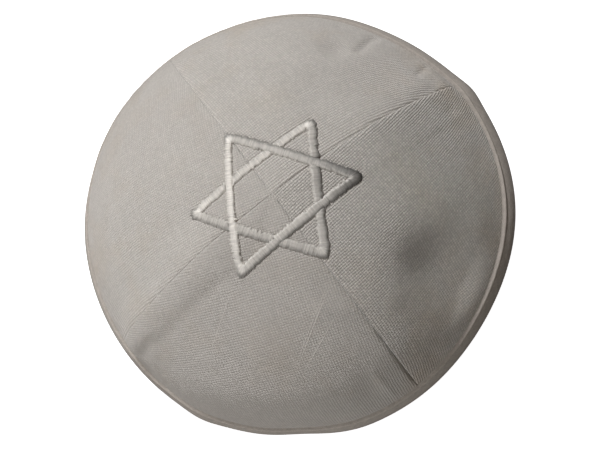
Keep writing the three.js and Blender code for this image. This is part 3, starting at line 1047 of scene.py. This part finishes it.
def laid_out(azimuth_from_middle, arc):
    """Cloth coordinates on a panel, across and along its middle, as on the ball that lies closest."""
    angle = arc / CLOTH_BALL
    across = CLOTH_BALL * np.arcsin(np.clip(np.sin(angle) * np.sin(azimuth_from_middle), -1, 1))
    along = CLOTH_BALL * np.arctan2(np.sin(angle) * np.cos(azimuth_from_middle), np.cos(angle))
    return across, along


def star_pucker(place, sizes):
    """The satin pulls the cloth in along its edges."""
    rise = np.zeros(place.shape)
    for tips in (OVER_TIPS, UNDER_TIPS):
        left, right, *_ = triangle_stations(tips, sizes.column / 2)
        near = np.minimum(distance_to_run(place, left), distance_to_run(place, right))
        rise -= PUCKER_DIP * hump(near, PUCKER_SPREAD)
    return rise


class KIPPAH_OT_panels(bpy.types.Operator):
    """Sew the four linen panels, each with its edges turned under at the seams"""

    bl_idname = "kippah.panels"
    bl_label = "Linen panels"

    def execute(self, context):
        sizes = context.scene.kippah_sizes
        for i, seam in enumerate(SEAMS):
            self.panel(seam, SEAMS[(i + 1) % len(SEAMS)], sizes, context.scene.kippah_colours.linen)
        return {"FINISHED"}

    def panel(self, seam, next_seam, sizes, colour):
        name = seam.panel
        azimuth, arc, sunk, cloth_azimuth = panel_grid(seam, next_seam, sizes)
        place = arc * np.exp(1j * azimuth)
        rise = relief(azimuth, arc, name, sizes.tape_leg) + star_pucker(place, sizes)
        piece = new_grid(f"linen_{name}", cap_point(azimuth, arc, sizes.face + rise - sunk))
        lay_uv(piece, *laid_out(cloth_azimuth, arc))
        select_only(piece)
        wall = piece.modifiers.new("Cloth", "SOLIDIFY")
        wall.thickness = sizes.cloth
        wall.offset = -1
        bpy.ops.object.modifier_apply(modifier=wall.name)
        weave = next(row for row in PANEL_WEAVES if row.panel == name)
        finish_piece(piece, linen_material(f"linen_{name}", weave, colour), "linen", f"panel_{name}")


class KIPPAH_OT_slubs(bpy.types.Operator):
    """Lay the thick places of the linen's yarn on the cloth"""

    bl_idname = "kippah.slubs"
    bl_label = "Slubs in the yarn"

    def execute(self, context):
        sizes = context.scene.kippah_sizes
        model = model_thread(rings=24, sides=6)
        share = model.along
        runs = []
        for slub in SLUBS:
            start = complex(slub.from_x, slub.from_y)
            end = complex(slub.to_x, slub.to_y)
            place = start + (end - start) * share
            panel = panel_of(math.degrees(np.angle(place[len(place) // 2])))
            azimuth = np.angle(place)
            arc = np.abs(place)
            offset = sizes.face + relief(azimuth, arc, panel, sizes.tape_leg) - slub.radius * SLUB_SUNK
            taper = slub.radius * np.sin(np.clip(share, SLUB_END, 1 - SLUB_END) * math.pi) ** 0.5
            runs.append(model.bent(cap_point(azimuth, arc, offset), taper))
        piece = joined_threads("linen_slubs", model, runs)
        finish_piece(piece, slub_material(context.scene.kippah_colours.linen), "linen")
        return {"FINISHED"}


class ModelThread:
    """One straight thread, modelled once: where its vertices lie along and round it, and its faces."""

    def __init__(self, mesh, rings):
        co = np.empty(len(mesh.vertices) * 3)
        mesh.vertices.foreach_get("co", co)
        co = co.reshape(-1, 3)
        self.share = co[:, 2] + 0.5
        self.round = co[:, :2]
        self.faces = [tuple(face.vertices) for face in mesh.polygons]
        self.along = np.linspace(0, 1, rings)
        self.ring = np.rint(self.share * (rings - 1)).astype(int)

    def bent(self, centre, radius):
        """The thread's vertices round a centre line that has one point a ring."""
        ahead = np.gradient(centre, axis=0)
        ahead /= np.linalg.norm(ahead, axis=1)[:, None]
        up = np.array([0.0, 0.0, 1.0])
        sideways = np.cross(ahead, up)
        sideways /= np.linalg.norm(sideways, axis=1)[:, None]
        upwards = np.cross(sideways, ahead)
        width = np.broadcast_to(radius, self.along.shape)[self.ring][:, None]
        spread = self.round[:, :1] * sideways[self.ring] + self.round[:, 1:] * upwards[self.ring]
        return centre[self.ring] + width * spread


def model_thread(rings, sides):
    """A thread with round ends closed flat, cut into rings along its length."""
    bpy.ops.object.select_all(action="DESELECT")
    bpy.ops.mesh.primitive_cylinder_add(vertices=sides, radius=1, depth=1, end_fill_type="NGON")
    piece = bpy.context.active_object
    bpy.ops.object.mode_set(mode="EDIT")
    bpy.ops.mesh.select_mode(type="EDGE")
    bpy.ops.mesh.select_all(action="DESELECT")
    bpy.ops.object.mode_set(mode="OBJECT")
    mesh = piece.data
    for edge in mesh.edges:
        low, high = (mesh.vertices[i].co.z for i in edge.vertices)
        edge.select = abs(high - low) > 0.5
    bpy.ops.object.mode_set(mode="EDIT")
    bpy.ops.mesh.subdivide(number_cuts=rings - 2)
    bpy.ops.object.mode_set(mode="OBJECT")
    model = ModelThread(mesh, rings)
    bpy.data.objects.remove(piece)
    bpy.data.meshes.remove(mesh)
    return model


def joined_threads(name, model, runs, tones_and_painted_light=None):
    """One mesh of many threads, each a copy of the model thread bent to its own run."""
    count = len(runs[0])
    faces = [
        tuple(corner + count * i for corner in face) for i in range(len(runs)) for face in model.faces
    ]
    mesh = bpy.data.meshes.new(name)
    mesh.from_pydata(np.concatenate(runs).tolist(), [], faces)
    if tones_and_painted_light is not None:
        attribute = mesh.attributes.new(TONE_AND_PAINTED_LIGHT_ATTRIBUTE, "FLOAT", "POINT")
        attribute.data.foreach_set("value", np.concatenate(tones_and_painted_light).astype(np.float32))
    piece = bpy.data.objects.new(name, mesh)
    bpy.context.scene.collection.objects.link(piece)
    return piece


class KIPPAH_OT_binding(bpy.types.Operator):
    """Fold the tape round the rim, with a raised edge, and sew it down"""

    bl_idname = "kippah.binding"
    bl_label = "Rim binding"

    def execute(self, context):
        sizes = context.scene.kippah_sizes
        colours = context.scene.kippah_colours
        azimuth = np.linspace(0, FULL_TURN, RIM_STEPS + 1)
        section = binding_section(azimuth, sizes)
        section = np.concatenate([section, section[:, :1]], axis=1)
        piece = new_grid("tape_binding", section.transpose(1, 0, 2))
        girth = np.linalg.norm(np.diff(section[0], axis=0), axis=1)
        upwards = np.concatenate([[0], np.cumsum(girth)])
        upwards -= upwards[BEAD_CREST_ROW]
        lay_uv(piece, *np.meshgrid(azimuth * RIM_RADIUS, upwards))
        bpy.ops.object.mode_set(mode="EDIT")
        bpy.ops.mesh.select_all(action="SELECT")
        bpy.ops.mesh.remove_doubles(threshold=1e-6)
        bpy.ops.object.mode_set(mode="OBJECT")
        finish_piece(piece, tape_material(colours.tape), "binding_tape", "rim_binding")
        return {"FINISHED"}


def binding_section(azimuth, sizes):
    """The folded tape's outline at each azimuth, from the foot up the outer face, round the raised edge,
    down behind it, under the cloth's end, and back over the inner leg."""
    lean, _, _, _, length = profile(azimuth)
    outer = TAPE_FACE - TAPE_STEEP_DIP * near_azimuth(azimuth, STEEP_AZIMUTH, STEEP_SPREAD)
    rolled = hump(azimuth_gap(azimuth, ROLLED_AZIMUTH), ROLLED_SPREAD)
    back = sizes.face + BACK_ROOM
    leg = sizes.tape_leg
    pucker = pucker_round(azimuth)

    def on(from_rim, offset):
        return cap_point(azimuth, length - from_rim, offset + np.zeros_like(azimuth))

    def foot(offset, height):
        corner = cap_point(azimuth, length + offset / np.tan(lean), offset + np.zeros_like(azimuth))
        corner[:, 2] = height
        return corner

    def slope(shares, start, end, low, high):
        """Rows up or down one side of the bead, along an even S."""
        return [
            on(start + (end - start) * share, low + (high - low) * (1 - math.cos(math.pi * share)) / 2)
            for share in shares
        ]

    rows = [
        foot(outer - line.inset - line.rolled_inset * rolled, line.height + line.rolled_height * rolled)
        for line in FOOT_LINES
    ]
    rows += [
        on(line.from_rim, outer + line.rise + line.rolled_rise * rolled + line.pucker * pucker)
        for line in FACE_LINES
    ]
    rows.append(on(leg - BEAD_GROOVE_BELOW, outer + pucker))
    crest = leg - BEAD_CREST_BELOW
    drawn = outer + pucker * BEAD_PUCKER
    top = drawn + BEAD_RISE
    rising = np.linspace(0, 1, BEAD_STEPS)
    falling = np.linspace(0, 1, BEAD_STEPS + 1)[1:]
    rows += slope(rising, leg - BEAD_FOOT_BELOW, crest, drawn - BEAD_GROOVE, top)
    rows += slope(falling, crest, leg + BEAD_END_ABOVE, top, sizes.face - BEAD_TUCK)
    rows += [
        on(leg - BEAD_BACK_BELOW, back),
        on(HELD_AT, back),
        on(CLOTH_END - CLOTH_ROOM, back),
        on(CLOTH_END - CLOTH_ROOM, TAPE_INNER_BACK),
        on(HELD_AT, TAPE_INNER_BACK),
    ]
    radius = (TAPE_INNER_BACK - TAPE_INNER_FACE) / 2
    for angle in np.radians(INNER_EDGE_ANGLES):
        away = sizes.tape_back - radius + radius * math.cos(angle)
        rows.append(on(away, TAPE_INNER_FACE + radius + radius * math.sin(angle)))
    rows.append(on(INNER_LEG_LINE, TAPE_INNER_FACE))
    rows += [foot(-inwards, height) for inwards, height in INNER_FOOT]
    return np.stack(rows, axis=1)


def pucker_round(azimuth):
    """The little puckers that the sewing draws in the tape."""
    return sum(
        row.height * np.array([
            noise.noise(Vector((row.closeness * math.cos(a), row.closeness * math.sin(a), row.layer)))
            for a in azimuth
        ])
        for row in TAPE_PUCKERS
    )


class KIPPAH_OT_binding_stitches(bpy.types.Operator):
    """Sew the binding down with a line of stitches under its raised edge"""

    bl_idname = "kippah.binding_stitches"
    bl_label = "Binding stitches"

    def execute(self, context):
        sizes = context.scene.kippah_sizes
        model = model_thread(rings=6, sides=5)
        low, high = SEWN_REACH
        runs = []
        for i in range(SEWN_STITCHES):
            azimuth = (i + low + (high - low) * model.along) * FULL_TURN / SEWN_STITCHES
            dive = np.abs(2 * model.along - 1) ** 6 * SEWN_DIVE
            arc = wall_length(azimuth) - sizes.tape_leg + SEWN_BELOW
            centre = cap_point(azimuth, arc, TAPE_FACE - SEWN_SUNK + pucker_round(azimuth) - dive)
            runs.append(model.bent(centre, SEWN_RADIUS))
        piece = joined_threads("binding_stitches", model, runs)
        finish_piece(piece, sewing_material(context.scene.kippah_colours.tape), "binding_tape")
        return {"FINISHED"}


class KIPPAH_OT_star(bpy.types.Operator):
    """Embroider the six-pointed star: two triangles of satin stitches, one over the other"""

    bl_idname = "kippah.star"
    bl_label = "Satin star"

    def execute(self, context):
        sizes = context.scene.kippah_sizes
        material = satin_material(context.scene.kippah_colours.satin)
        over_left, over_right, *_ = triangle_stations(OVER_TIPS, sizes.column / 2)
        under_nodes = [
            f"star_under_{part}_{side}" for part in ("tip", "bar") for side in ("right", "left", "front")
        ]
        over = self.triangle("star_over_stitches", OVER_TIPS, sizes, None, seed=11)
        finish_piece(over, material, "satin_thread", "star_over_triangle")
        over_run = (over_left + over_right) / 2
        under = self.triangle("star_under_stitches", UNDER_TIPS, sizes, over_run, seed=23)
        finish_piece(under, material, "satin_thread", *under_nodes)
        return {"FINISHED"}

    def triangle(self, name, tips, sizes, pressed_by, seed):
        """A triangle's stitches. Where another column lies over them they are pressed flat."""
        chance = np.random.default_rng(seed)
        stitches = even_stitches(*triangle_stations(tips, sizes.column / 2), sizes.pitch)
        model = model_thread(rings=10, sides=5)
        across = model.along
        painted_shade_centre = flat_place(PAINTED_SHADE_TIP.azimuth, PAINTED_SHADE_TIP.arc)
        tip_places = np.array([flat_place(tip.azimuth, tip.arc) for tip in tips])
        # Where along a stitch its painted shade falls
        outer_shade_mask = 1 - smooth(*STITCH_PAINTED_SHADE_FADE, model.share)
        kept_tip_shade = 1 - STITCH_SPARING * smooth(*STITCH_SPARED, model.share)
        arch = (1 - (2 * across - 1) ** ARCH_FLATNESS) ** ARCH_ROUNDNESS
        stray = chance.normal(0, STITCH_STRAY, (len(stitches[0]), 2))
        stray += np.roll(stray, 1, axis=0) * STITCH_FOLLOWS
        runs = []
        tones_and_painted_light = []
        for stitch_left, stitch_right, dark, shine, (outer, inner) in zip(*stitches, stray):
            direction = unit(stitch_right - stitch_left)
            start = stitch_left - direction * outer
            end = stitch_right + direction * inner
            centre = (start + end) / 2
            place = start + (end - start) * across
            azimuth = np.angle(place)
            arc = np.abs(place)
            height = sizes.column_height * (1 + chance.normal(0, STITCH_UNEVEN)) * arch - STITCH_SUNK
            if pressed_by is not None:
                height = height * smooth(*PRESSED, distance_to_run(place, pressed_by))
            panel = panel_of(math.degrees(np.angle(centre)))
            base = sizes.face + relief(azimuth, arc, panel, sizes.tape_leg)
            runs.append(model.bent(cap_point(azimuth, arc, base + height - sizes.thread), sizes.thread))
            # Painted shade round the right tip, kept less at each stitch's inner end
            shade = PAINTED_SHADE_DEPTH * hump(abs(centre - painted_shade_centre), PAINTED_SHADE_REACH)
            # Painted shade at the outer corner of every tip
            at_tip = TIP_PAINTED_SHADE * hump(np.abs(tip_places - centre).min(), TIP_PAINTED_SHADE_REACH)
            # Each side's painted sheen on a random tone, then the painted shade at the stitch's outer end
            tone_and_painted_light = shine * chance.uniform(*STITCH_TONES) * (1 - shade * kept_tip_shade)
            tones_and_painted_light.append(tone_and_painted_light * (1 - max(dark, at_tip) * outer_shade_mask))
        return joined_threads(name, model, runs, tones_and_painted_light)


class KIPPAH_OT_stage(bpy.types.Operator):
    """Set the pale floor, the soft light and the camera"""

    bl_idname = "kippah.stage"
    bl_label = "Stage"

    def execute(self, context):
        colours = context.scene.kippah_colours
        self.floor()
        self.lights(context, colours)
        self.camera(context)
        context.scene.view_settings.view_transform = "Standard"
        return {"FINISHED"}

    def floor(self):
        """A pale floor that glows a little, so that it shows as plain white."""
        bpy.ops.object.select_all(action="DESELECT")
        bpy.ops.mesh.primitive_plane_add(size=30)
        floor = named(bpy.context.active_object, "floor")
        material = Shader("pale_floor").set(
            Base_Color=(0.8, 0.8, 0.8, 1),
            Roughness=0.9,
            Emission_Color=(1, 1, 1, 1),
            Emission_Strength=0.9,
        )
        floor.data.materials.append(material)
        floor.visible_diffuse = False
        floor.visible_glossy = False

    def lights(self, context, colours):
        """Two suns, and a light from all round that the camera sees as a plain backdrop."""
        for sun, strength in zip(SUNS, (colours.key, colours.side)):
            self.sun(sun, strength)
        world = bpy.data.worlds.new("studio")
        context.scene.world = world
        world.use_nodes = True
        world.node_tree.nodes.clear()
        nodes = Nodes(world.node_tree)
        ray = nodes.node("ShaderNodeTexCoord").outputs["Generated"]
        lean = nodes.node("ShaderNodeVectorMath", {0: ray, 1: FILL_LEAN}, operation="DOT_PRODUCT")
        uneven = Signal(nodes, lean.outputs["Value"]) * colours.fill + colours.fill * FILL_EVEN
        fill = nodes.node("ShaderNodeBackground", {"Color": FILL_COLOUR, "Strength": uneven})
        backdrop = nodes.node("ShaderNodeBackground", {"Color": BACKDROP_COLOUR})
        seen = nodes.node("ShaderNodeLightPath").outputs["Is Camera Ray"]
        mix = nodes.node("ShaderNodeMixShader", {"Fac": seen, 1: fill.outputs[0], 2: backdrop.outputs[0]})
        nodes.node("ShaderNodeOutputWorld", {"Surface": mix.outputs[0]})

    def sun(self, sun, strength):
        """A distant light from one row of the suns' table."""
        bpy.ops.object.light_add(type="SUN")
        light = named(bpy.context.active_object, sun.name)
        light.data.energy = strength
        light.data.angle = math.radians(sun.breadth)
        light.rotation_euler = (0, math.radians(90 - sun.elevation), math.radians(sun.azimuth))

    def camera(self, context):
        bpy.ops.object.camera_add()
        camera = named(bpy.context.active_object, "camera")
        turn = Matrix.Rotation(CAMERA_TILT, 4, "X") @ Matrix.Rotation(CAMERA_ROLL, 4, "Z")
        camera.matrix_world = Matrix.Translation(CAMERA_PLACE + Vector(CROWN_AXIS)) @ turn
        camera.data.lens = CAMERA_LENS
        context.scene.camera = camera


class KIPPAH_PT_sidebar(bpy.types.Panel):
    """The steps that build the skullcap, in order"""

    bl_label = "Kippah"
    bl_space_type = "VIEW_3D"
    bl_region_type = "UI"
    bl_category = "Kippah"

    def draw(self, context):
        for operator in OPERATORS:
            self.layout.operator(operator.bl_idname)
        for group in (context.scene.kippah_sizes, context.scene.kippah_colours):
            for name in group.bl_rna.properties.keys():
                if name not in ("name", "rna_type"):
                    self.layout.prop(group, name)


OPERATORS = (
    KIPPAH_OT_stage,
    KIPPAH_OT_panels,
    KIPPAH_OT_slubs,
    KIPPAH_OT_binding,
    KIPPAH_OT_binding_stitches,
    KIPPAH_OT_star,
)
CLASSES = (KippahSizes, KippahColours, *OPERATORS, KIPPAH_PT_sidebar)


def register():
    for made in CLASSES:
        bpy.utils.register_class(made)
    bpy.types.Scene.kippah_sizes = bpy.props.PointerProperty(type=KippahSizes)
    bpy.types.Scene.kippah_colours = bpy.props.PointerProperty(type=KippahColours)


def unregister():
    del bpy.types.Scene.kippah_colours
    del bpy.types.Scene.kippah_sizes
    for made in reversed(CLASSES):
        bpy.utils.unregister_class(made)


def main():
    register()
    bpy.ops.kippah.stage()
    bpy.ops.kippah.panels()
    bpy.ops.kippah.slubs()
    bpy.ops.kippah.binding()
    bpy.ops.kippah.binding_stitches()
    bpy.ops.kippah.star()


if __name__ == "__main__":
    main()
